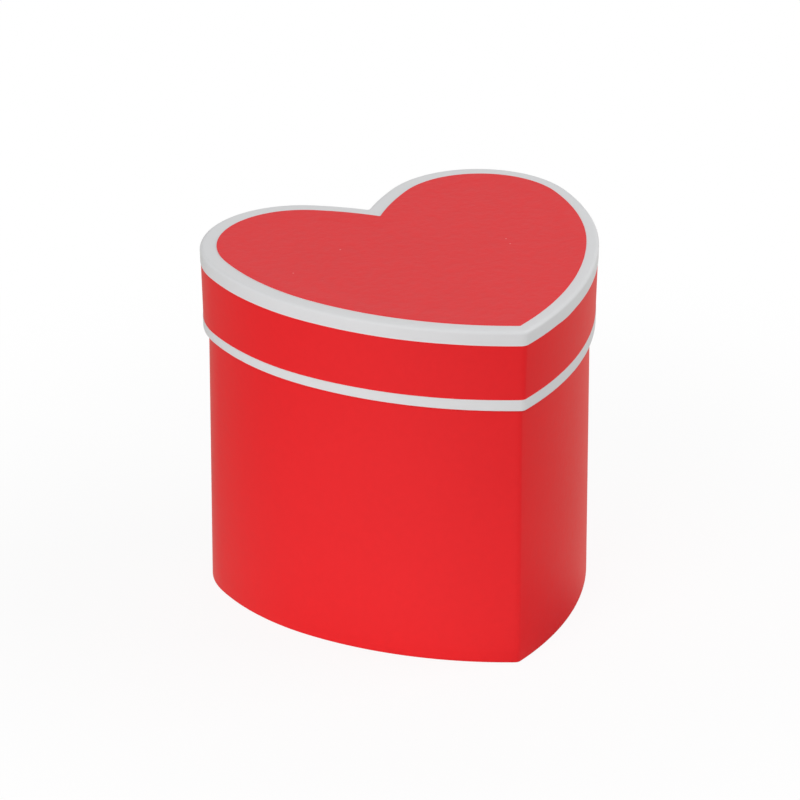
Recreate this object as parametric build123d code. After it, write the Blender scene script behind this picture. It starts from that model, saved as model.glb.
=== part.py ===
from build123d import *
import math
import os

# Valentine heart box: a rigid paperboard box whose lid telescopes down over its rim.
# Millimetres, +Z up, underside at z = 0, the heart's point toward -Y and its notch toward +Y.

# Heart outline, measured over the paper of the lid's lower edge: four arcs to each half
lid_width = 190.0
crown_radius = 140.0  # from the notch up onto the lobe
lobe_radius = 47.0
side_radius = 126.0  # from the widest point down
flank_radius = 178.0  # the long run to the point
crown_angle = 123.0  # direction of the outline's normal where crown meets lobe
flank_angle = -29.5  # and where side meets flank
lid_point_round = 3.3  # outside radius of the crease at the lid's point
base_point_round = 3.5  # the same on the base
notch_round = 0.8  # outside radius at the bottom of the notch, at the lid's top edge
cut_round = 0.3  # corners of a heart cut from paper

# Stock
wall_board = 1.5  # greyboard strip bent into the walls
panel_board = 2.0  # greyboard hearts of the floor and the lid's top
cover_paper = 0.2  # red paper
edging_paper = 0.2  # white paper strips on the lid's edges
lining_paper = 0.15  # white paper inside
tape_paper = 0.1  # white stay tape over the wall seams
tape_glue = 0.3  # glue line under a tape
hem_glue = 0.1  # and under the lower edging, inside the lid

# Heights and fits
base_height = 172.6  # underside to rim
lid_depth = 41.5  # outside, top to lower edge
lid_flare = 1.2  # the lid's wall leans out this far from its lower edge to its top, all round
lid_clearance = 0.4  # lid's inner hem to the base, all round
seam_gap = 0.2  # between the two ends of a wall strip, in the notch
lining_trim = 0.5  # linings and tapes stop this far short of what they run up to

# Papers
edging_drop = 7.6  # upper edging, down the side of the lid
edging_border = 7.1  # upper edging, seen on the top around the label
edging_lap = 6.0  # upper edging, hidden under the label
edging_round = 1.8  # outside radius of the lid's top edge
label_aside = 0.7  # the top label was laid this far to the right of the middle
label_forward = 0.8  # and this far toward the point
hem_height = 5.3  # lower edging, up the outside of the skirt
hem_turn_in = 10.0  # lower edging, up the inside of the skirt
rim_turn_in = 15.0  # base paper, over the rim and down inside
floor_turn_in = 12.0  # base paper, under the floor
bottom_label_margin = 3.0  # bottom label's edge to the base's outside
paper_lap = 10.0  # one end of a wrap over the other, beside the notch
tape_width = 24.0  # across the seam, measured square to the box's middle plane

# Layers of the lid, as insets from the outline
skirt_paper_face = edging_paper
skirt_board_face = skirt_paper_face + cover_paper
skirt_board_back = skirt_board_face + wall_board
skirt_lining_face = skirt_board_back + lining_paper
hem_back = skirt_lining_face + hem_glue
hem_inner_face = hem_back + edging_paper
label_edge = edging_border - lid_flare
edging_step = label_edge + edging_lap

# Layers of the base
base_face = hem_inner_face + lid_clearance
base_board_face = base_face + cover_paper
base_board_back = base_board_face + wall_board
base_lining_face = base_board_back + lining_paper
rim_inner_face = base_lining_face + cover_paper
floor_step = base_face + floor_turn_in

# Levels
floor_paper_bottom = cover_paper
floor_bottom = floor_paper_bottom + cover_paper
floor_top = floor_bottom + panel_board
rim_board_top = base_height - cover_paper
ceiling = base_height + lining_paper
lid_board_top = ceiling + panel_board
edging_top = lid_board_top + edging_paper
label_top = edging_top + cover_paper
lid_bottom = label_top - lid_depth
skirt_bottom = lid_bottom + edging_paper
skirt_paper_top = edging_top - edging_round - lining_trim
base_tape_top = base_height - rim_turn_in - lining_trim
lid_tape_bottom = lid_bottom + hem_turn_in + lining_trim
lid_tape_top = base_height - lining_trim


def toward(angle):
    """Unit vector in the plan, by its direction in degrees."""
    return Vector(math.cos(math.radians(angle)), math.sin(math.radians(angle)))


def reach(hypotenuse, side):
    """Length of a right triangle's other side."""
    return math.sqrt(hypotenuse**2 - side**2)


# Centres of the right half's arcs; the outline's middle in depth lies on y = 0
lobe_centre = Vector(lid_width / 2 - lobe_radius, 0)
crown_centre = lobe_centre - (crown_radius - lobe_radius) * toward(crown_angle)
side_centre = lobe_centre - Vector(side_radius - lobe_radius, 0)
flank_centre = side_centre - (flank_radius - side_radius) * toward(flank_angle)
point_depth = flank_centre.Y - reach(flank_radius - lid_point_round, flank_centre.X) - lid_point_round
to_middle = Vector(0, -(lobe_radius + point_depth) / 2)
lobe_centre += to_middle
crown_centre += to_middle
side_centre += to_middle
flank_centre += to_middle
label_place = Pos(label_aside, -label_forward, 0)


def heart(inset, point_radius, valley_radius):
    """Closed outline that lies inset inside the lid's lower edge, with its two corners rounded."""
    crown = crown_radius - inset
    flank = flank_radius - inset
    valley_centre = Vector(0, crown_centre.Y + reach(crown + valley_radius, crown_centre.X))
    point_centre = Vector(0, flank_centre.Y - reach(flank - point_radius, flank_centre.X))
    to_valley = valley_centre - crown_centre
    to_point = point_centre - flank_centre
    valley_angle = math.degrees(math.atan2(to_valley.Y, to_valley.X))
    point_angle = math.degrees(math.atan2(to_point.Y, to_point.X))
    arcs = [
        (valley_centre, valley_radius, -90, valley_angle - 180),
        (crown_centre, crown, valley_angle, crown_angle),
        (lobe_centre, lobe_radius - inset, crown_angle, 0),
        (side_centre, side_radius - inset, 0, flank_angle),
        (flank_centre, flank, flank_angle, point_angle),
    ]
    if point_radius > 0:
        arcs.append((point_centre, point_radius, point_angle, -90))
    right = []
    for centre, radius, start, end in arcs:
        stops = [centre + radius * toward(angle) for angle in (start, (start + end) / 2, end)]
        right.append(ThreePointArc(*stops))
    left = [edge.mirror(Plane.YZ) for edge in right]
    return Wire(right + left)


def prism(outline, bottom, top):
    return extrude(Pos(0, 0, bottom) * Face(outline), amount=top - bottom, dir=(0, 0, 1))


def base_plate(inset, bottom, top):
    """Solid heart bounded by one layer of the base."""
    point = max(base_point_round - (inset - base_face), 0)
    return prism(heart(inset, point, notch_round + lid_flare + inset), bottom, top)


def lid_section(inset, level):
    """One layer of the lid at a level; the wall leans out as it rises."""
    inset -= lid_flare * (level - lid_bottom) / lid_depth
    point = max(lid_point_round - inset, 0)
    return Pos(0, 0, level) * Face(heart(inset, point, notch_round + lid_flare + inset))


def lid_plate(inset, bottom, top):
    """Solid heart bounded by one layer of the lid."""
    return loft([lid_section(inset, bottom), lid_section(inset, top)], ruled=True)


def cut_plate(inset, bottom, top):
    """Solid heart bounded by a paper's cut edge, with crisp corners."""
    return prism(heart(inset, cut_round, cut_round), bottom, top)


def band(plate, outer, inner, bottom, top):
    """Heart-shaped band between two layers and two levels."""
    return plate(outer, bottom, top) - plate(inner, bottom, top)


def at_notch(left, right, bottom, top):
    """Block that takes in all behind the box's middle, notch included, from x = left to x = right."""
    corner = (Align.MIN, Align.MIN, Align.MIN)
    return Pos(left, 0, bottom) * Box(right - left, lid_width, top - bottom, align=corner)


def wall(plate, face, back, bottom, top):
    """Board strip bent once round the heart, its two ends meeting in the notch."""
    seam = at_notch(-seam_gap / 2, seam_gap / 2, bottom, top)
    return band(plate, face, back, bottom, top) - seam


def lining(plate, face, bottom, top):
    """White paper on the inside of a wall strip, cut at the strip's seam."""
    return wall(plate, face - lining_paper, face, bottom, top)


def seam_tape(plate, face, bottom, top):
    """Stay tape pasted on the inside of a wall, across its seam."""
    around_seam = at_notch(-tape_width / 2, tape_width / 2, bottom, top)
    outer = face + tape_glue
    return band(plate, outer, outer + tape_paper, bottom, top) & around_seam


def end_lap(plate, face, bottom, top):
    """The end of a wrap, pasted over its own start beside the notch."""
    beside_notch = at_notch(0, paper_lap, bottom, top)
    return band(plate, face - cover_paper, face, bottom, top) & beside_notch


def stepped_label(edge, step, outer_level, inner_level):
    """Paper heart that lies over a border strip and steps onto the board inside it."""
    over_border = band(cut_plate, edge, step + cover_paper, outer_level, outer_level + cover_paper)
    on_board = cut_plate(step, inner_level, inner_level + cover_paper)
    return over_border + on_board


def rounded_plate(inset, bottom, top, radius):
    """Solid lid heart with its top edge rounded."""
    block = lid_plate(inset, bottom, top)
    return fillet(block.faces().sort_by(Axis.Z)[-1].edges(), radius)


def base_wrap():
    """Red paper: up the outside, over the rim and down inside, and turned under the floor."""
    outside = band(base_plate, base_face, base_board_face, floor_paper_bottom, base_height)
    over_rim = band(base_plate, base_face, rim_inner_face, rim_board_top, base_height)
    inside = band(base_plate, base_lining_face, rim_inner_face, base_height - rim_turn_in, base_height)
    under = base_plate(base_face, floor_paper_bottom, floor_bottom)
    under -= cut_plate(floor_step, floor_paper_bottom, floor_bottom)
    lap = end_lap(base_plate, base_face, floor_paper_bottom, base_height)
    return outside + over_rim + inside + under + lap


def lid_upper_edging():
    """White strip folded over the lid's top edge."""
    bottom = label_top - edging_drop
    outside = rounded_plate(0, bottom, edging_top, edging_round)
    inside = rounded_plate(skirt_paper_face, bottom, lid_board_top, edging_round - edging_paper)
    window = label_place * cut_plate(edging_step, bottom, edging_top)
    return outside - inside - window


def lid_lower_edging():
    """White strip folded round the lid's lower edge."""
    outside = band(lid_plate, 0, skirt_paper_face, lid_bottom, lid_bottom + hem_height)
    under = band(lid_plate, 0, hem_inner_face, lid_bottom, skirt_bottom)
    inside = band(lid_plate, hem_back, hem_inner_face, lid_bottom, lid_bottom + hem_turn_in)
    return outside + under + inside


def lid_skirt_board():
    """Board strip of the lid, its outer top edge eased under the edging."""
    strip = wall(lid_plate, skirt_board_face, skirt_board_back, skirt_bottom, lid_board_top)
    eased = rounded_plate(
        skirt_board_face, skirt_bottom, lid_board_top, edging_round - edging_paper - cover_paper
    )
    return strip & eased


def lid_skirt_wrap():
    """Red paper band round the skirt, its ends lapped between the two edgings."""
    around = band(lid_plate, skirt_paper_face, skirt_board_face, skirt_bottom, skirt_paper_top)
    lap_bottom = lid_bottom + hem_height
    lap_top = label_top - edging_drop
    return around + end_lap(lid_plate, skirt_paper_face, lap_bottom, lap_top)


pieces = {
    "base_wall_board": wall(base_plate, base_board_face, base_board_back, floor_bottom, rim_board_top),
    "base_floor_board": base_plate(base_lining_face, floor_bottom, floor_top),
    "base_wall_lining": lining(base_plate, base_lining_face, floor_bottom, rim_board_top),
    "base_floor_lining": base_plate(base_lining_face + lining_trim, floor_top, floor_top + lining_paper),
    "base_seam_tape": seam_tape(base_plate, base_lining_face, floor_top, base_tape_top),
    "base_wrap": base_wrap(),
    "base_bottom_label": stepped_label(
        base_face + bottom_label_margin, floor_step, 0, floor_paper_bottom
    ),
    "lid_skirt_board": lid_skirt_board(),
    "lid_top_board": lid_plate(skirt_lining_face, ceiling, lid_board_top),
    "lid_skirt_lining": lining(lid_plate, skirt_lining_face, skirt_bottom, lid_board_top),
    "lid_top_lining": lid_plate(skirt_lining_face + lining_trim, base_height, ceiling),
    "lid_seam_tape": seam_tape(lid_plate, skirt_lining_face, lid_tape_bottom, lid_tape_top),
    "lid_skirt_wrap": lid_skirt_wrap(),
    "lid_upper_edging": lid_upper_edging(),
    "lid_lower_edging": lid_lower_edging(),
    "lid_top_label": label_place * stepped_label(label_edge, edging_step, edging_top, lid_board_top),
}

os.makedirs("parts", exist_ok=True)
for name, piece in pieces.items():
    export_step(piece, f"parts/{name}.step")
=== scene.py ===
import math

import bmesh
import bpy
from bl_math import smoothstep
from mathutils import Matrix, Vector, noise


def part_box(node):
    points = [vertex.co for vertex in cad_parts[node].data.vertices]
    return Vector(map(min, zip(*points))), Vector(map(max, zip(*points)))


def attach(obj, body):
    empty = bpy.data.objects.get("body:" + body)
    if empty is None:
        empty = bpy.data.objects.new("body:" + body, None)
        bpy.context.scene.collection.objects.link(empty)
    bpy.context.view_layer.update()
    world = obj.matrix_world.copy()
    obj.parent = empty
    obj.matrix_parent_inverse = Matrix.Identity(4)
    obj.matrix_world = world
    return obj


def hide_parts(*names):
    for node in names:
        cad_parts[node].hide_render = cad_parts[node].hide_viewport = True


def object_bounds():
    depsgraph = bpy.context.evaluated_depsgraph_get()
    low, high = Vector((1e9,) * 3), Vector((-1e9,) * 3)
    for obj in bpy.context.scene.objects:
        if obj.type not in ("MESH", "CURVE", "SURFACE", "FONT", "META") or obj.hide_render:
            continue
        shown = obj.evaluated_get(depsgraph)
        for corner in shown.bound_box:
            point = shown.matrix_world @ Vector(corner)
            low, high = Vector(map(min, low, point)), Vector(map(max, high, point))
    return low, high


# Valentine heart box: a tall paperboard box with a lid that slides down over its rim.
# Metres, +Z up, the heart's point toward -Y and its notch toward +Y.
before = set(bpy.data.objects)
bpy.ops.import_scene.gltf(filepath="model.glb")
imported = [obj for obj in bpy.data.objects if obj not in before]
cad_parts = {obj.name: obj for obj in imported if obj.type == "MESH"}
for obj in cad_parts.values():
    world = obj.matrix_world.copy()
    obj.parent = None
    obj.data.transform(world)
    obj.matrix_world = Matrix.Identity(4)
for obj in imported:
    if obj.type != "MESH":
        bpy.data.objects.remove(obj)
cad_low, cad_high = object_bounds()
mm = 0.001


# Greyboard: the walls are strips bent round the heart, the floor and the lid's top are cut hearts.
# It is pressed from waste paper, so it is dull, grey-brown and full of short fibres and flecks.
# Paper covers it all but for slim lines beside the linings.
greyboard_nodes = ["base_wall_board", "base_floor_board", "lid_skirt_board", "lid_top_board"]
greyboard_pale = (0.34, 0.31, 0.27, 1)
greyboard_dark = (0.22, 0.20, 0.18, 1)
greyboard_fleck = (0.12, 0.11, 0.10, 1)
greyboard_fibre = 0.6 * mm
greyboard_cloud = 9 * mm
greyboard_fibre_share = 0.6
greyboard_fleck_size = 1.2 * mm
greyboard_fleck_edge = (0.66, 0.72)
greyboard_roughness = (0.8, 1.0)
greyboard_gloss = 0.2
greyboard_tooth = 0.05 * mm


class Wire:
    """A value on its way through a material's nodes; sums on it add Math nodes."""

    def __init__(self, tree, socket=None):
        self.tree = tree
        self.socket = socket

    def node(self, kind, settings, inputs, output=0):
        """Adds any node: its settings first, then the values or wires of its sockets."""
        made = self.tree.nodes.new("ShaderNode" + kind)
        for name, value in settings.items():
            setattr(made, name, value)
        for name, value in inputs.items():
            if isinstance(value, Wire):
                self.tree.links.new(value.socket, made.inputs[name])
            else:
                made.inputs[name].default_value = value
        return Wire(self.tree, made.outputs[output] if made.outputs else None)

    def maths(self, operation, first, second):
        """Adds a Math node on two values or wires."""
        return self.node("Math", {"operation": operation}, {0: first, 1: second})

    def __add__(self, other):
        return self.maths("ADD", self, other)

    def __mul__(self, other):
        return self.maths("MULTIPLY", self, other)

    __radd__ = __add__
    __rmul__ = __mul__


def new_material(name):
    """An empty material, and a wire that carries the place on the piece."""
    material = bpy.data.materials.new(name)
    material.use_nodes = True
    material.node_tree.nodes.clear()
    return material, Wire(material.node_tree).node("TexCoord", {}, {}, "Object")


def stretched(place, scale):
    """The same places with each axis scaled, which draws a pattern out along the small one."""
    return place.node("Mapping", {}, {"Vector": place, "Scale": scale})


def cloud(place, size, detail=2.0):
    """Noise from 0 to 1 in patches of about that size."""
    return place.node("TexNoise", {}, {"Vector": place, "Scale": 1 / size, "Detail": detail})


def between(value, low, high):
    """Soft step: 0 below low, 1 above high."""
    settings = {"interpolation_type": "SMOOTHSTEP"}
    return value.node("MapRange", settings, {"Value": value, "From Min": low, "From Max": high})


def mixed(factor, first, second):
    """Goes from one colour to another by a factor."""
    return factor.node("Mix", {"data_type": "RGBA"}, {0: factor, 6: first, 7: second}, 2)


def blended(first, second, share=0.5):
    """Two patterns in one: the first by its share, the second by the rest."""
    return share * first + (1 - share) * second


def ranged(pattern, low, high):
    """A pattern from 0 to 1, made to run from low to high."""
    return low + (high - low) * pattern


def finish_material(colour, roughness, height, depth, gloss):
    """The shader: colour and roughness, a relief of that depth, and a gloss that is the same all over."""
    relief = height.node("Bump", {}, {"Height": height, "Distance": depth})
    sockets = {"Base Color": colour, "Roughness": roughness, "Normal": relief, "Specular IOR Level": gloss}
    shader = height.node("BsdfPrincipled", {}, sockets)
    height.node("OutputMaterial", {}, {"Surface": shader})


def greyboard():
    """Mottled grey-brown with short fibres and dark flecks."""
    material, place = new_material("greyboard")
    fibres = cloud(place, greyboard_fibre, detail=4)
    patches = cloud(place, greyboard_cloud)
    flecks = between(cloud(place, greyboard_fleck_size), *greyboard_fleck_edge)
    ground = mixed(blended(fibres, patches, greyboard_fibre_share), greyboard_dark, greyboard_pale)
    colour = mixed(flecks, ground, greyboard_fleck)
    roughness = ranged(fibres, *greyboard_roughness)
    finish_material(colour, roughness, fibres, greyboard_tooth, greyboard_gloss)
    return material


def dress_nodes(names, material):
    """Gives CAD nodes that keep their shape a finish of their own."""
    for name in names:
        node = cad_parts[name]
        node.data.materials.clear()
        node.data.materials.append(material)


dress_nodes(greyboard_nodes, greyboard())


# Linings: thin white paper pasted on the boards before they are bent and glued up.
# It is uncoated and matt, with a faint tooth and a little see-through of the board behind.
lining_nodes = ["base_wall_lining", "base_floor_lining", "lid_skirt_lining", "lid_top_lining"]
lining_white = (0.80, 0.79, 0.76, 1)
lining_shade = (0.72, 0.71, 0.68, 1)
lining_fibre = 0.35 * mm
lining_cloud = 14 * mm
lining_fibre_share = 0.35
lining_roughness = (0.75, 0.95)
lining_gloss = 0.25
lining_tooth = 0.02 * mm


def lining_paper():
    """Matt white, faintly cloudy."""
    material, place = new_material("lining_paper")
    fibres = cloud(place, lining_fibre, detail=3)
    patches = cloud(place, lining_cloud)
    colour = mixed(blended(fibres, patches, lining_fibre_share), lining_shade, lining_white)
    roughness = ranged(fibres, *lining_roughness)
    finish_material(colour, roughness, fibres, lining_tooth, lining_gloss)
    return material


dress_nodes(lining_nodes, lining_paper())


# Stay tapes: strips of strong gummed paper pasted over the wall seams inside the notch.
# The paper is a shade creamier than the lining, with fine laid lines across it.
tape_nodes = ["base_seam_tape", "lid_seam_tape"]
tape_cream = (0.74, 0.70, 0.60, 1)
tape_shade = (0.66, 0.61, 0.51, 1)
tape_line_scale = (1, 1, 12)
tape_fibre = 2.5 * mm
tape_roughness = (0.55, 0.75)
tape_gloss = 0.3
tape_tooth = 0.03 * mm


def stay_tape():
    """Cream, with fine laid lines."""
    material, place = new_material("stay_tape")
    lines = cloud(stretched(place, tape_line_scale), tape_fibre, detail=3)
    colour = mixed(lines, tape_shade, tape_cream)
    roughness = ranged(lines, *tape_roughness)
    finish_material(colour, roughness, lines, tape_tooth, tape_gloss)
    return material


dress_nodes(tape_nodes, stay_tape())


# Base paper: one sheet of satin red paper pasted round the outside of the base.
# It is folded over the rim and down inside, turned under the floor, and lapped beside the notch.
crown_radius = 140 * mm
lobe_radius = 47 * mm
side_radius = 126 * mm
flank_radius = 178 * mm
crown_angle = 123
flank_angle = -29.5
notch_round = 0.8 * mm
lid_flare = 1.2 * mm
sheet = 0.2 * mm
glue = 0.01 * mm
base_inset = 2.75 * mm
base_point_round = 3.5 * mm
base_rim_width = 2.05 * mm
base_floor_turn_in = 12 * mm
base_rim_turn_in = 15 * mm
base_fold = 0.6 * mm
base_lap = 10 * mm
base_row = 6 * mm
wrap_step = 2 * mm
least_steps = 6
weld = 0.001 * mm
crease_angle = 40
fold_segments = 6
cover_red = (0.82, 0.0165, 0.0205, 1)
cover_deep_red = (0.74, 0.0145, 0.0185, 1)
cover_cloud = 40 * mm
cover_fibre = 0.5 * mm
cover_grain = 3.5 * mm
cover_grain_share = 0.6
cover_relief_share = 0.9
cover_roughness = (0.34, 0.50)
cover_gloss = 0.17
cover_tooth = 0.05 * mm


def toward(angle):
    """Unit vector in the plan, by its direction in degrees."""
    return Vector((math.cos(math.radians(angle)), math.sin(math.radians(angle)), 0))


def direction(vector):
    """A vector's direction in the plan, in degrees."""
    return math.degrees(math.atan2(vector.y, vector.x))


base_low, base_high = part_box("base_wrap")
lobe_reach = base_inset - lobe_radius
lobe_centre = Vector((base_high.x + lobe_reach, base_high.y + lobe_reach, 0))
crown_centre = lobe_centre - (crown_radius - lobe_radius) * toward(crown_angle)
side_centre = lobe_centre - Vector((side_radius - lobe_radius, 0, 0))
flank_centre = side_centre - (flank_radius - side_radius) * toward(flank_angle)


def heart_turns(inset, notch, point):
    """Centre, turn in degrees and radius of each arc from the notch round the right half to the point.

    The heart lies inset inside the lid's lower edge. Its crown, lobe, side and flank come between
    the roundings at the notch and at the point, which have the radii of those names.
    """
    notch_reach = math.sqrt((crown_radius - inset + notch) ** 2 - crown_centre.x**2)
    point_reach = math.sqrt((flank_radius - inset - point) ** 2 - flank_centre.x**2)
    notch_centre = Vector((0, crown_centre.y + notch_reach, 0))
    point_centre = Vector((0, flank_centre.y - point_reach, 0))
    notch_angle = direction(notch_centre - crown_centre)
    point_angle = direction(point_centre - flank_centre)
    return [
        (notch_centre, notch_angle - 90, notch),
        (crown_centre, crown_angle - notch_angle, crown_radius),
        (lobe_centre, -crown_angle, lobe_radius),
        (side_centre, flank_angle, side_radius),
        (flank_centre, point_angle - flank_angle, flank_radius),
        (point_centre, -90 - point_angle, point),
    ]


def section(mesh, corners, start, row):
    """A folded sheet's section at the notch: its corners as (inset, height, fold radius).

    Each vertex keeps its distance across the sheet, measured from the first corner.
    """
    across = mesh.verts.layers.float.new("across")
    line = [mesh.verts.new((0, start - inset, height)) for inset, height, _ in corners]
    for ends in zip(line, line[1:]):
        mesh.edges.new(ends)
    for corner, (_, _, fold) in zip(line, corners):
        if fold:
            bmesh.ops.bevel(
                mesh, geom=[corner], offset=fold, offset_type="OFFSET", affect="VERTICES",
                segments=fold_segments, profile=0.5, material=-1,
            )
    for edge in list(mesh.edges):
        cuts = math.ceil(edge.calc_length() / row) - 1
        if cuts:
            bmesh.ops.subdivide_edges(mesh, edges=[edge], cuts=cuts)
    first = Vector((0, start - corners[0][0], corners[0][1]))
    vert = min(mesh.verts, key=lambda other: (other.co - first).length)
    edge = vert.link_edges[0]
    while edge:
        following = edge.other_vert(vert)
        following[across] = vert[across] + edge.calc_length()
        vert = following
        edge = next((other for other in vert.link_edges if other != edge), None)
    return mesh.verts[:] + mesh.edges[:]


def bend(mesh, strip, turns):
    """Carries a section along a chain of turns."""
    for centre, turn, radius in turns:
        steps = max(least_steps, math.ceil(math.radians(abs(turn)) * radius / wrap_step))
        spun = bmesh.ops.spin(
            mesh, geom=strip, cent=centre, axis=(0, 0, 1), angle=math.radians(turn), steps=steps,
        )
        strip = [part for part in spun["geom_last"] if not isinstance(part, bmesh.types.BMFace)]
    return strip


def right_of_middle(strip):
    """What of a section has not yet met the other half, so that it still has the point to go round."""
    edges = [part for part in strip if isinstance(part, bmesh.types.BMEdge)]
    kept = [edge for edge in edges if all(vert.co.x > -weld for vert in edge.verts)]
    verts = dict.fromkeys(vert for edge in kept for vert in edge.verts)
    return list(verts) + kept


def turn_out(mesh, side):
    """Turns a sheet's faces so that the one farthest to that side looks that way."""
    bmesh.ops.recalc_face_normals(mesh, faces=mesh.faces)
    outermost = max(mesh.faces, key=lambda face: face.calc_center_median().dot(side))
    if outermost.normal.dot(side) < 0:
        bmesh.ops.reverse_faces(mesh, faces=mesh.faces[:])


def close_heart(mesh):
    """Trims the right half at the middle, mirrors it and welds the two."""
    middle = {"plane_co": (0, 0, 0), "plane_no": (1, 0, 0)}
    whole = mesh.verts[:] + mesh.edges[:] + mesh.faces[:]
    bmesh.ops.bisect_plane(mesh, geom=whole, dist=weld, clear_inner=True, **middle)
    whole = mesh.verts[:] + mesh.edges[:] + mesh.faces[:]
    bmesh.ops.mirror(mesh, geom=whole, axis="X", merge_dist=weld)
    bmesh.ops.remove_doubles(mesh, verts=mesh.verts, dist=weld)


def heart_sheet(corners, inset, notch, point, row):
    """The outer face of a sheet that is folded to a section and wrapped once round the heart."""
    mesh = bmesh.new()
    turns = heart_turns(inset, notch, point)
    strip = section(mesh, corners, turns[0][0].y - notch, row)
    strip = bend(mesh, strip, turns[:-1])
    bend(mesh, right_of_middle(strip), turns[-1:])
    close_heart(mesh)
    turn_out(mesh, Vector((1, 0, 0)))
    return mesh


def thicken(mesh):
    """Gives a sheet's outer face the paper's thickness, inwards."""
    bmesh.ops.solidify(mesh, geom=mesh.faces[:], thickness=sheet)


def add_lap(mesh, corners, inset, notch, length, row):
    """Adds the end of a wrap, which lies over its start to the right of the notch."""
    lap = bmesh.new()
    turns = heart_turns(inset - glue, notch - glue, 0)
    strip = section(lap, corners, turns[0][0].y - notch + glue, row)
    crown = math.degrees(length / crown_radius)
    bend(lap, strip, [turns[0], (crown_centre, -crown, crown_radius)])
    turn_out(lap, Vector((0, 1, 0)))
    thicken(lap)
    data = bpy.data.meshes.new("lap")
    lap.to_mesh(data)
    lap.free()
    mesh.from_mesh(data)
    bpy.data.meshes.remove(data)


def paper_piece(name, mesh, material, body, node):
    """Makes a finished mesh a piece that stands for a CAD node and moves with its body."""
    for face in mesh.faces:
        face.smooth = True
    data = bpy.data.meshes.new(name)
    mesh.to_mesh(data)
    mesh.free()
    data.materials.append(material)
    data.set_sharp_from_angle(angle=math.radians(crease_angle))
    piece = bpy.data.objects.new(name, data)
    bpy.context.scene.collection.objects.link(piece)
    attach(piece, body)
    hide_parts(node)
    return piece


def cover_paper():
    """Satin red with a shallow grain."""
    material, place = new_material("red_cover_paper")
    patches = cloud(place, cover_cloud)
    fibres = cloud(place, cover_fibre, detail=3)
    grain = cloud(place, cover_grain, detail=3)
    colour = mixed(blended(grain, patches, cover_grain_share), cover_deep_red, cover_red)
    roughness = ranged(blended(fibres, grain), *cover_roughness)
    height = blended(grain, fibres, cover_relief_share)
    finish_material(colour, roughness, height, cover_tooth, cover_gloss)
    return material


cover_material = cover_paper()
base_foot = base_low.z
base_rim = base_high.z
base_corners = [
    (base_floor_turn_in, base_foot, 0),
    (base_point_round, base_foot, 0),
    (0, base_foot, base_fold),
    (0, base_rim, base_fold),
    (base_rim_width, base_rim, base_fold),
    (base_rim_width, base_rim - base_rim_turn_in, 0),
]
base_notch = notch_round + lid_flare + base_inset
base_mesh = heart_sheet(base_corners, base_inset, base_notch, base_point_round, base_row)
thicken(base_mesh)
base_lap_corners = [(0, base_foot + base_fold, 0), (0, base_rim - base_fold, 0)]
add_lap(base_mesh, base_lap_corners, base_inset - sheet, base_notch - sheet, base_lap, base_row)
paper_piece("base_paper", base_mesh, cover_material, "base", "base_wrap")


# Bottom label: a white paper heart pasted under the floor, over the ends of the turned red paper.
# Inside their edge it steps up onto the board, so its rim is what the box stands on.
label_cut_round = 0.3 * mm
bottom_label_margin = 3 * mm
bottom_label_inset = base_inset + bottom_label_margin
bottom_label_step = base_inset + base_floor_turn_in - bottom_label_inset
bottom_label_slope = 1.5 * mm
bottom_label_white = (0.78, 0.77, 0.74, 1)
bottom_label_shade = (0.68, 0.67, 0.63, 1)
bottom_label_fibre = 0.4 * mm
bottom_label_cloud = 18 * mm
bottom_label_fibre_share = 0.4
bottom_label_roughness = (0.7, 0.9)
bottom_label_gloss = 0.25
bottom_label_tooth = 0.03 * mm


def label_paper():
    """Matt off-white."""
    material, place = new_material("white_label_paper")
    fibres = cloud(place, bottom_label_fibre, detail=4)
    patches = cloud(place, bottom_label_cloud)
    tone = blended(fibres, patches, bottom_label_fibre_share)
    colour = mixed(tone, bottom_label_shade, bottom_label_white)
    roughness = ranged(fibres, *bottom_label_roughness)
    finish_material(colour, roughness, fibres, bottom_label_tooth, bottom_label_gloss)
    return material


def stepped_heart(inset, step, slope, edge_level, middle_level, side):
    """A paper heart, its edge lying over a border and its middle stepped onto the board."""
    corners = [
        (step + 2 * slope, middle_level, 0),
        (step + slope, middle_level, 0),
        (step, edge_level, 0),
        (label_cut_round, edge_level, 0),
        (0, edge_level, 0),
    ]
    mesh = heart_sheet(corners, inset, label_cut_round, label_cut_round, slope)
    across = mesh.verts.layers.float["across"]
    inner = [edge for edge in mesh.edges if edge.is_boundary and edge.verts[0][across] < slope / 2]
    bmesh.ops.edgeloop_fill(mesh, edges=inner)
    turn_out(mesh, side)
    thicken(mesh)
    return mesh


bottom_label_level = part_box("base_bottom_label")[0].z
bottom_label_mesh = stepped_heart(
    bottom_label_inset, bottom_label_step, bottom_label_slope,
    bottom_label_level, bottom_label_level + sheet, Vector((0, 0, -1)),
)
paper_piece(
    "base_bottom_heart", bottom_label_mesh, label_paper(),
    "base", "base_bottom_label",
)


# Lid paper: a band of the same red paper round the skirt, its ends lapped beside the notch.
# Its upper and lower edges are hidden under the white edgings.
lid_point_round = 3.3 * mm
lid_notch = notch_round + lid_flare
lid_paper_inset = sheet
lid_lap = 10 * mm
lid_row = 6 * mm
hem_height = 5.3 * mm
edging_drop = 7.6 * mm

lid_paper_low, lid_paper_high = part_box("lid_skirt_wrap")
lid_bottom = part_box("lid_lower_edging")[0].z
lid_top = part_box("lid_top_label")[1].z


def leaning(inset, height, fold=0):
    """A corner of a section of the lid, whose wall leans out as it rises."""
    return inset - lid_flare * (height - lid_bottom) / (lid_top - lid_bottom), height, fold


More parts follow.
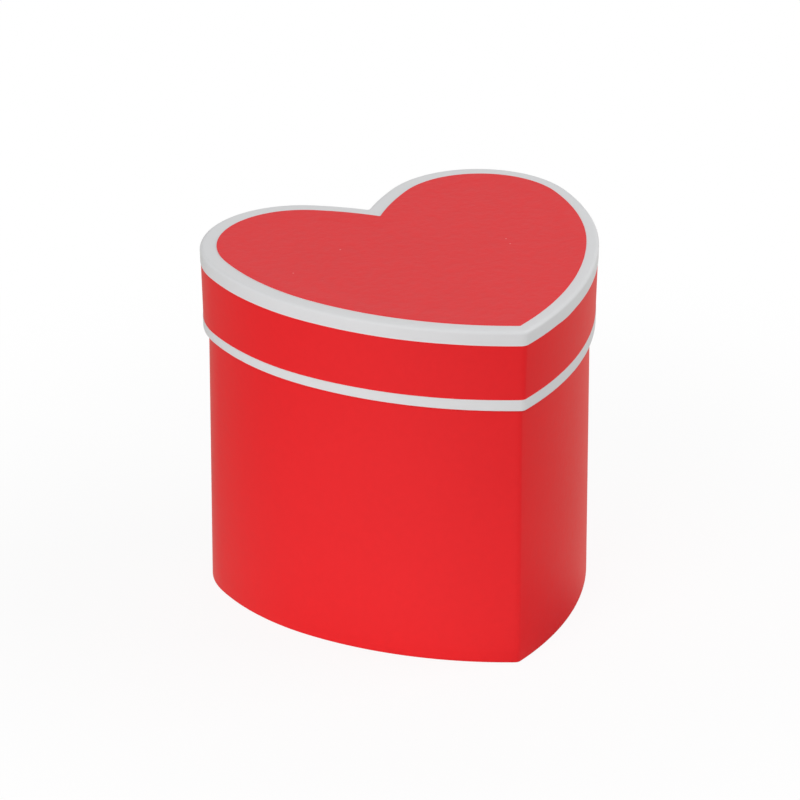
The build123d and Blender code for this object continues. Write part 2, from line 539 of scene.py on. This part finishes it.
lid_paper_corners = [leaning(0, lid_paper_low.z), leaning(0, lid_paper_high.z)]
lid_paper_point = lid_point_round - lid_paper_inset
lid_paper_mesh = heart_sheet(
    lid_paper_corners, lid_paper_inset, lid_notch + lid_paper_inset, lid_paper_point, lid_row,
)
thicken(lid_paper_mesh)
lid_lap_corners = [leaning(0, lid_bottom + hem_height), leaning(0, lid_top - edging_drop)]
add_lap(lid_paper_mesh, lid_lap_corners, lid_paper_inset - sheet, lid_notch, lid_lap, lid_row)
paper_piece("lid_band_paper", lid_paper_mesh, cover_material, "lid", "lid_skirt_wrap")


# Lower edging: a strip of smooth white paper folded round the skirt's lower edge and pasted inside.
# It was laid by hand, so it shows a little more on the right side than on the left.
hem_width = 2.35 * mm
hem_turn_in = 10 * mm
hem_fold = 0.5 * mm
hem_row = 2 * mm
hem_extra = 0.55 * mm
hem_rise = 0.009
hem_wobble = 0.08 * mm
wobble_length = 25 * mm
edging_white = (0.73, 0.735, 0.745, 1)
edging_shade = (0.70, 0.705, 0.715, 1)
edging_cloud = 12 * mm
edging_fibre = 0.4 * mm
edging_streak = 30 * mm
edging_streak_scale = (1, 1, 14)
edging_roughness = (0.4, 0.55)
edging_gloss = 0.3
edging_tooth = 0.012 * mm


def edging_paper():
    """Smooth white with faint streaks along the strip."""
    material, place = new_material("white_edging_paper")
    patches = cloud(place, edging_cloud)
    fibres = cloud(place, edging_fibre, detail=3)
    streaks = cloud(stretched(place, edging_streak_scale), edging_streak)
    colour = mixed(blended(patches, streaks), edging_shade, edging_white)
    roughness = ranged(fibres, *edging_roughness)
    finish_material(colour, roughness, blended(fibres, streaks), edging_tooth, edging_gloss)
    return material


notch_place = heart_turns(0, lid_notch, lid_point_round)[0][0]


def off_laps(place):
    """1 round most of the heart, falling to 0 beside the notch, where the laps meet the strips."""
    return 1 - smoothstep(lobe_centre.y, notch_place.y, place.y)


def lay_by_hand(mesh, shown, wander):
    """Lets the cut edge of a strip wander up or down, as it does when it is laid by hand."""
    across = mesh.verts.layers.float["across"]
    for vert in mesh.verts:
        vert.co.z += max(0, 1 - vert[across] / shown) * wander(vert.co)


def hem_wander(place):
    """More of the hem shows to the right; beside the notch it is even."""
    wobble = hem_wobble * noise.noise(place / wobble_length)
    return off_laps(place) * (hem_extra + hem_rise * place.x + wobble)


edging_material = edging_paper()
hem_corners = [
    leaning(0, lid_bottom + hem_height),
    leaning(0, lid_bottom, hem_fold),
    leaning(hem_width, lid_bottom, hem_fold),
    leaning(hem_width, lid_bottom + hem_turn_in),
]
hem_mesh = heart_sheet(hem_corners, 0, lid_notch, lid_point_round, hem_row)
lay_by_hand(hem_mesh, hem_height, hem_wander)
thicken(hem_mesh)
paper_piece("lid_hem_strip", hem_mesh, edging_material, "lid", "lid_lower_edging")


# Upper edging: a strip of the same white paper folded over the lid's rounded top edge.
# It shows on the side and as a border on the top, and its inner part is hidden under the label.
edging_round = 1.8 * mm
edging_border = 7.1 * mm
edging_lap = 4 * mm
edging_row = 2 * mm
edging_wobble = 0.12 * mm
edging_dip = 0.35 * mm
edging_dip_place = Vector((31.6, -71.1, 0)) * mm
edging_dip_length = 12 * mm


def edging_wander(place):
    """The edging's lower edge wobbles, and dips once to the right of the point."""
    from_dip = (place.xy - edging_dip_place.xy).length
    dip = edging_dip * (1 - smoothstep(0, edging_dip_length, from_dip))
    wobble = edging_wobble * noise.noise(place / wobble_length)
    return off_laps(place) * (wobble - dip)


edging_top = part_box("lid_upper_edging")[1].z
label_edge = edging_border - lid_flare
edging_corners = [
    leaning(0, lid_top - edging_drop),
    leaning(0, edging_top, edging_round),
    (lid_point_round, edging_top, 0),
    (label_edge + edging_lap, edging_top, 0),
]
edging_mesh = heart_sheet(edging_corners, 0, lid_notch, lid_point_round, edging_row)
lay_by_hand(edging_mesh, edging_drop - edging_round, edging_wander)
thicken(edging_mesh)
paper_piece(
    "lid_top_strip", edging_mesh, edging_material, "lid", "lid_upper_edging",
)


# Top label: a red paper heart with a fine pressed grain and a few pale specks, pasted on the lid.
# Its edge lies on the edging, inside the white border, and its middle is stepped down onto the board.
# It was laid a little to the right of the middle and toward the point.
label_place = Vector((0.7, -0.8, 0)) * mm
label_step = 6 * mm
label_slope = 6 * mm
label_red = (0.815, 0.0180, 0.0230, 1)
label_deep_red = (0.715, 0.0150, 0.0195, 1)
label_grain = 4.5 * mm
label_fibre = 0.4 * mm
label_cloud = 35 * mm
label_grain_share = 0.7
label_relief_share = 0.9
label_roughness = (0.42, 0.54)
label_gloss = 0.18
label_tooth = 0.3 * mm
speck_pink = (0.80, 0.30, 0.28, 1)
speck_places = [(42 * mm, 5 * mm), (41 * mm, -1 * mm), (-34 * mm, 30 * mm), (-66 * mm, 16 * mm)]
speck_size = (0.1 * mm, 0.6 * mm)


def distance(place, point):
    """How far each place is from a point."""
    return place.node("VectorMath", {"operation": "DISTANCE"}, {0: place, 1: point}, "Value")


def embossed_paper():
    """Red with a pressed grain and a few pale specks."""
    material, place = new_material("red_label_paper")
    patches = cloud(place, label_cloud)
    grain = cloud(place, label_grain, detail=3)
    fibres = cloud(place, label_fibre)
    colour = mixed(blended(grain, patches, label_grain_share), label_deep_red, label_red)
    for speck_x, speck_y in speck_places:
        from_speck = distance(place, (speck_x, speck_y, lid_top))
        colour = mixed(between(from_speck, *speck_size), speck_pink, colour)
    roughness = ranged(grain, *label_roughness)
    height = blended(grain, fibres, label_relief_share)
    finish_material(colour, roughness, height, label_tooth, label_gloss)
    return material


top_label_mesh = stepped_heart(
    label_edge, label_step, label_slope, lid_top, lid_top - sheet, Vector((0, 0, 1)),
)
bmesh.ops.translate(top_label_mesh, vec=label_place, verts=top_label_mesh.verts)
paper_piece("lid_top_heart", top_label_mesh, embossed_paper(), "lid", "lid_top_label")


# Studio: a wide floor and a room, both dimmer than the white that the camera sees, and soft lamps.
# A painted pool of light, a white patch like a card, lies to the left of the point, and a painted shadow
# shades the floor to the right of it, in bounced light and in gloss.
# The camera stands to the left of the point and looks down on the lid.
floor_size = 8.0
floor_middle = (0, 0, 0)
pure_white = (1, 1, 1, 1)
# The floor's white as the camera sees it, and also the white of a painted pool of light: a bright patch
# like a card on the grey floor, left of the point, that lights the box's foot.
floor_and_painted_pool_white = (0.92, 0.92, 0.92, 1)
floor_grey = (0.20, 0.20, 0.20, 1)
# Painted shadow: a darker patch of floor right of the point, where the box's shade falls; it darkens the
# light bounced onto the box and the floor's reflections in it.
floor_painted_shadow = (0.36, 0.36, 0.36, 1)
painted_pool_place = (-0.16, -0.14, 0)
painted_pool_fade = (0.10, 0.34)
painted_shadow_place = (0.045, -0.08, 0)
painted_shadow_fade = (0.015, 0.08)
floor_fade = (0.16, 0.42)
floor_glow = 0.9
mirrored_glow = 0.58
# Painted reflection: the floor glows a warm white in gloss only, so that the box's sheen looks warm.
painted_reflection_white = (1, 0.98, 0.84, 1)
room_light = 0.40
camera_azimuth = -27.416
camera_elevation = 25.437
camera_distance = 3.00029
camera_aim = Vector((0.00418, 0.04197, 0.08237))
camera_lens = 277.87
camera_sensor = 36
camera_far = 100
lamp_distance = 2.0
lamp_size = 1.2
# Each lamp's compass angle and height in degrees, and its power in watts.
lamps = {
    "left_lamp": (-57, 20, 22.9),
    "right_lamp": (65, 26, 20.7),
    "back_lamp": (150, 45, 3.4),
    "rear_left_lamp": (-130, 20, 2.2),
}


def looking(azimuth, elevation):
    """Unit vector from the box toward a viewer, by compass angle and height above the horizon."""
    flat = toward(azimuth - 90) * math.cos(math.radians(elevation))
    return flat + Vector((0, 0, math.sin(math.radians(elevation))))


def place_viewer(name, data, aim, azimuth, elevation, reach):
    """Puts a camera or a lamp that far from what it looks at."""
    viewer = bpy.data.objects.new(name, data)
    back = looking(azimuth, elevation)
    viewer.location = aim + reach * back
    viewer.rotation_euler = back.to_track_quat("Z", "Y").to_euler()
    bpy.context.scene.collection.objects.link(viewer)
    return viewer


def seen(wire, straight, mirrored):
    """One value for what the camera sees, one for what gloss and glass show, and 0 for other light."""
    paths = {
        kind: wire.node("LightPath", {}, {}, f"Is {kind} Ray")
        for kind in ("Camera", "Glossy", "Transmission")
    }
    in_gloss = wire.maths("MAXIMUM", paths["Glossy"], paths["Transmission"])
    return wire.maths("MAXIMUM", straight * paths["Camera"], mirrored * in_gloss)


def studio_floor():
    """White to the camera; in gloss a warmer, dimmer white, a painted reflection that a painted shadow
    dims right of the point; to other light bare grey ground with a painted pool of light left of the point
    and a painted shadow right of it.
    """
    material, place = new_material("studio_floor")
    # Painted pool of light left of the point, fading to bare grey floor.
    off_painted_pool = between(distance(place, painted_pool_place), *painted_pool_fade)
    # Painted shadow right of the point, in bounced light and in gloss.
    out_of_painted_shadow = between(distance(place, painted_shadow_place), *painted_shadow_fade)
    far = between(distance(place, floor_middle), *floor_fade)
    by_camera = seen(place, 1.0, 0.0)
    ground = mixed(out_of_painted_shadow, floor_painted_shadow, mixed(off_painted_pool, floor_and_painted_pool_white, floor_grey))
    matt = place.node("BsdfDiffuse", {}, {"Color": mixed(by_camera, ground, floor_and_painted_pool_white)})
    # Warm painted reflection in gloss, white to the camera.
    shown_white = mixed(by_camera, painted_reflection_white, pure_white)
    glow = place.node("Emission", {}, {"Color": shown_white, "Strength": 1.0})
    share = seen(place, floor_glow + (1 - floor_glow) * far, mirrored_glow * out_of_painted_shadow)
    surface = place.node("MixShader", {}, {0: share, 1: matt, 2: glow})
    place.node("OutputMaterial", {}, {"Surface": surface})
    return material


floor_mesh = bmesh.new()
bmesh.ops.create_grid(floor_mesh, x_segments=1, y_segments=1, size=floor_size / 2)
floor_data = bpy.data.meshes.new("floor")
floor_mesh.to_mesh(floor_data)
floor_mesh.free()
floor_data.materials.append(studio_floor())
floor = bpy.data.objects.new("floor", floor_data)
bpy.context.scene.collection.objects.link(floor)

world = bpy.data.worlds.new("room")
world.use_nodes = True
world.node_tree.nodes.clear()
room = Wire(world.node_tree)
room_strength = room_light + (1 - room_light) * seen(room, 1.0, 1.0)
room_white = room.node("Background", {}, {"Color": pure_white, "Strength": room_strength})
room.node("OutputWorld", {}, {"Surface": room_white})
bpy.context.scene.world = world

box_middle = (cad_low + cad_high) / 2
for lamp_name, (lamp_azimuth, lamp_elevation, lamp_power) in lamps.items():
    lamp = bpy.data.lights.new(lamp_name, "AREA")
    lamp.size = lamp_size
    lamp.energy = lamp_power
    place_viewer(lamp_name, lamp, box_middle, lamp_azimuth, lamp_elevation, lamp_distance)

camera_data = bpy.data.cameras.new("camera")
camera_data.lens = camera_lens
camera_data.sensor_width = camera_sensor
camera_data.clip_end = camera_far
bpy.context.scene.camera = place_viewer(
    "camera", camera_data, camera_aim, camera_azimuth, camera_elevation, camera_distance,
)
bpy.context.scene.view_settings.view_transform = "Standard"
